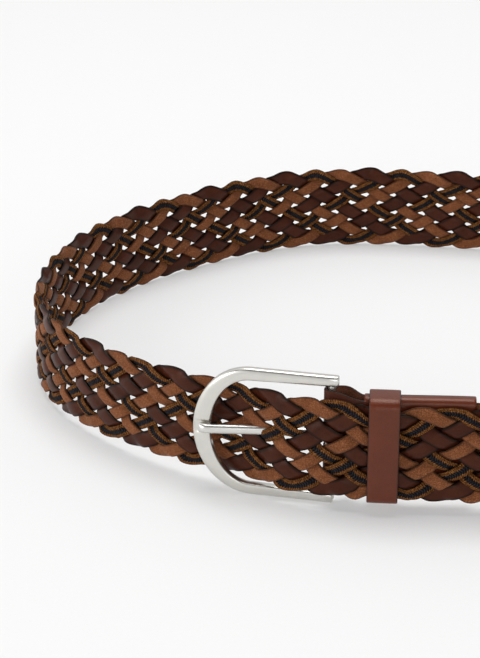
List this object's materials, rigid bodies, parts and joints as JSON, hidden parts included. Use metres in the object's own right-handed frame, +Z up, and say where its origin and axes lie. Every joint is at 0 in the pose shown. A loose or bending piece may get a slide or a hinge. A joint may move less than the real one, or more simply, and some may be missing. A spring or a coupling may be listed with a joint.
{
  "type": "braided belt",
  "caption": "Woven leather belt, fastened in a closed loop through a horseshoe buckle with prong, with a leather keeper and standing on its lower edge.",
  "frame": {"origin": "on the ground under the middle of the closed loop's bounding box", "axes": "+X along the loop's long way, from the buckle's bow side towards the free end; +Y from the buckle across the loop to its back; +Z up, across the band's width"},
  "size_m": [0.3247, 0.2546, 0.0478],
  "materials": {
    "woven_leather": "woven strands of smooth dark brown leather, tan suede and striped cord",
    "smooth_leather": "smooth red-brown leather with a fine grain and a soft sheen",
    "satin_metal": "satin pale metal",
    "bright_metal": "polished pale metal"
  },
  "bodies": {
    "root": {"strap_braid": "woven_leather", "chape": "smooth_leather", "keeper": "smooth_leather", "strap_tip": "smooth_leather", "buckle_frame": "satin_metal", "buckle_prong": "bright_metal"}
  },
  "joints": []
}
